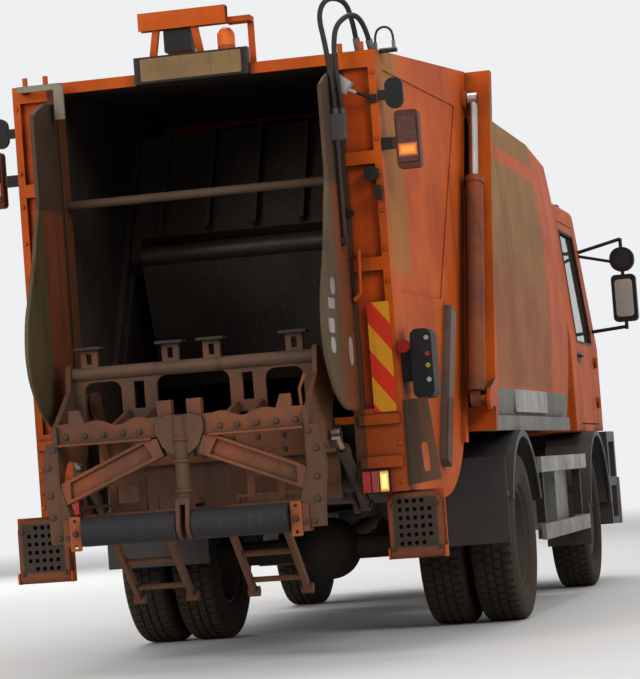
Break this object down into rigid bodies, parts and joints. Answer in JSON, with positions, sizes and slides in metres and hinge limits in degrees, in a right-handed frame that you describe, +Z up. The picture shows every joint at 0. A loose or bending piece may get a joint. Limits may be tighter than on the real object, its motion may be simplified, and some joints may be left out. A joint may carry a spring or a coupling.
{
  "type": "rear-loading garbage truck",
  "caption": "Two-axle rear-loading garbage truck with an orange barrel-sided body, a lifting tailgate with hopper and packer, and a bin lifter at the back.",
  "frame": {"origin": "on the ground below the middle of the truck's length and width", "axes": "+X forward, +Y to the truck's left, +Z up"},
  "size_m": [8.52, 3.03, 3.5],
  "materials": {
    "orange": "gloss",
    "chassis_black": "satin",
    "tank_alloy": "satin",
    "alloy": "satin",
    "grey_plastic": "matt",
    "pale_grey": "satin",
    "glass": "gloss",
    "seat_cloth": "matt",
    "black_plastic": "matt",
    "lamp_clear": "gloss",
    "worn_steel": "worn",
    "tyre": "matt",
    "rim": "worn",
    "lamp_colour": "gloss",
    "lifter_paint": "worn",
    "rubber": "matt",
    "chrome": "polished"
  },
  "bodies": {
    "chassis": {"frame": "chassis_black", "subframe": "chassis_black", "axles": "chassis_black", "springs": "chassis_black", "driveline": "chassis_black", "tanks": "tank_alloy", "side_guards": "alloy", "mudguards": "grey_plastic", "body_shell": "orange", "body_front": "orange", "sill_rails": "pale_grey", "cab_shell": "orange", "cab_glass": "glass", "seats": "seat_cloth", "dashboard": "black_plastic", "front_panels": "black_plastic", "headlamps": "lamp_clear", "front_arches": "black_plastic", "mirrors": "black_plastic", "air_intake": "black_plastic"},
    "ejector": {"ejector": "worn_steel"},
    "door_l": {"door_l": "orange", "door_glass_l": "glass"},
    "door_r": {"door_r": "orange", "door_glass_r": "glass"},
    "knuckle_l": {"knuckle_l": "chassis_black"},
    "knuckle_r": {"knuckle_r": "chassis_black"},
    "wheel_fl": {"tyre_fl": "tyre", "rim_fl": "rim"},
    "wheel_fr": {"tyre_fr": "tyre", "rim_fr": "rim"},
    "wheels_rl": {"tyres_rl": "tyre", "rims_rl": "rim"},
    "wheels_rr": {"tyres_rr": "tyre", "rims_rr": "rim"},
    "tailgate": {"tail_sides": "orange", "hopper_walls": "worn_steel", "tail_top": "orange", "hopper_trough": "worn_steel", "shields": "worn_steel", "tail_boxes": "black_plastic", "tail_lamps": "lamp_colour", "tail_pipes": "orange", "step_hangers": "orange", "side_fittings": "black_plastic", "guard_plates": "pale_grey", "hose_a": "rubber", "hose_b": "rubber", "hose_c": "rubber"},
    "carriage": {"carriage": "worn_steel"},
    "packer_blade": {"packer_blade": "worn_steel"},
    "lifter": {"lift_arms": "lifter_paint", "lift_frame": "lifter_paint", "lift_roller": "rubber"},
    "step_l": {"step_l": "lifter_paint"},
    "step_r": {"step_r": "lifter_paint"},
    "tail_barrels": {"tail_barrels": "orange"},
    "tail_rods": {"tail_rods": "chrome"},
    "tip_barrels": {"tip_barrels": "lifter_paint"},
    "tip_rods": {"tip_rods": "chrome"}
  },
  "joints": [
    {"name": "steer_l", "type": "hinge", "parent": "chassis", "child": "knuckle_l", "pos_m": [2.89, 0.86, 0.51], "axis": [0, 0, 1], "range_deg": [-38, 38]},
    {"name": "steer_r", "type": "hinge", "parent": "chassis", "child": "knuckle_r", "pos_m": [2.89, -0.86, 0.51], "axis": [0, 0, 1], "range_deg": [-38, 38]},
    {"name": "spin_fl", "type": "hinge", "parent": "knuckle_l", "child": "wheel_fl", "pos_m": [2.89, 1.036, 0.51], "axis": [0, 1, 0], "continuous": true},
    {"name": "spin_fr", "type": "hinge", "parent": "knuckle_r", "child": "wheel_fr", "pos_m": [2.89, -1.036, 0.51], "axis": [0, 1, 0], "continuous": true},
    {"name": "spin_rl", "type": "hinge", "parent": "chassis", "child": "wheels_rl", "pos_m": [-0.886, 0.923, 0.51], "axis": [0, 1, 0], "continuous": true},
    {"name": "spin_rr", "type": "hinge", "parent": "chassis", "child": "wheels_rr", "pos_m": [-0.886, -0.923, 0.51], "axis": [0, 1, 0], "continuous": true},
    {"name": "door_hinge_l", "type": "hinge", "parent": "chassis", "child": "door_l", "pos_m": [3.882, 1.166, 1.5], "axis": [0, 0, -1], "range_deg": [0, 70]},
    {"name": "door_hinge_r", "type": "hinge", "parent": "chassis", "child": "door_r", "pos_m": [3.882, -1.166, 1.5], "axis": [0, 0, 1], "range_deg": [0, 70]},
    {"name": "tailgate_lift", "type": "hinge", "parent": "chassis", "child": "tailgate", "pos_m": [-1.14, 0, 3.405], "axis": [0, 1, 0], "range_deg": [0, 85]},
    {"name": "tail_barrel_pivot", "type": "hinge", "parent": "chassis", "child": "tail_barrels", "pos_m": [-2.04, 0, 1.33], "axis": [0, 1, 0], "range_deg": [-10, 2]},
    {"name": "tail_rod_slide", "type": "slide", "parent": "tail_barrels", "child": "tail_rods", "axis": [0.374, 0, 0.9274], "range_m": [-0.02, 0.34]},
    {"name": "carriage_slide", "type": "slide", "parent": "tailgate", "child": "carriage", "axis": [-0.5, 0, -0.866], "range_m": [0, 0.75]},
    {"name": "blade_hinge", "type": "hinge", "parent": "carriage", "child": "packer_blade", "pos_m": [-2.235, 0, 2.29952], "axis": [0, 1, 0], "range_deg": [0, 75]},
    {"name": "lifter_tip", "type": "hinge", "parent": "tailgate", "child": "lifter", "pos_m": [-3.58, 0, 1.42], "axis": [0, 1, 0], "range_deg": [-10, 100]},
    {"name": "tip_barrel_pivot", "type": "hinge", "parent": "tailgate", "child": "tip_barrels", "pos_m": [-3.16, 0, 0.79], "axis": [0, 1, 0], "range_deg": [-3, 21]},
    {"name": "tip_rod_slide", "type": "slide", "parent": "tip_barrels", "child": "tip_rods", "axis": [-0.8448, 0, 0.5351], "range_m": [-0.05, 0.42]},
    {"name": "step_fold_l", "type": "hinge", "parent": "tailgate", "child": "step_l", "pos_m": [-3.383, 1.02, 0.525], "axis": [0, -1, 0], "range_deg": [0, 90]},
    {"name": "step_fold_r", "type": "hinge", "parent": "tailgate", "child": "step_r", "pos_m": [-3.383, -1.02, 0.525], "axis": [0, -1, 0], "range_deg": [0, 90]},
    {"name": "ejector_slide", "type": "slide", "parent": "chassis", "child": "ejector", "axis": [-1, 0, 0], "range_m": [0, 2.9]}
  ],
  "couplings": [
    {"joint": "steer_r", "follows": "steer_l", "ratio": 1},
    {"joint": "tail_barrel_pivot", "follows": "tailgate_lift", "ratio": -0.0995},
    {"joint": "tail_rod_slide", "follows": "tailgate_lift", "m_per_rad": 0.2109},
    {"joint": "tip_barrel_pivot", "follows": "lifter_tip", "ratio": 0.1821},
    {"joint": "tip_rod_slide", "follows": "lifter_tip", "m_per_rad": 0.2366}
  ]
}
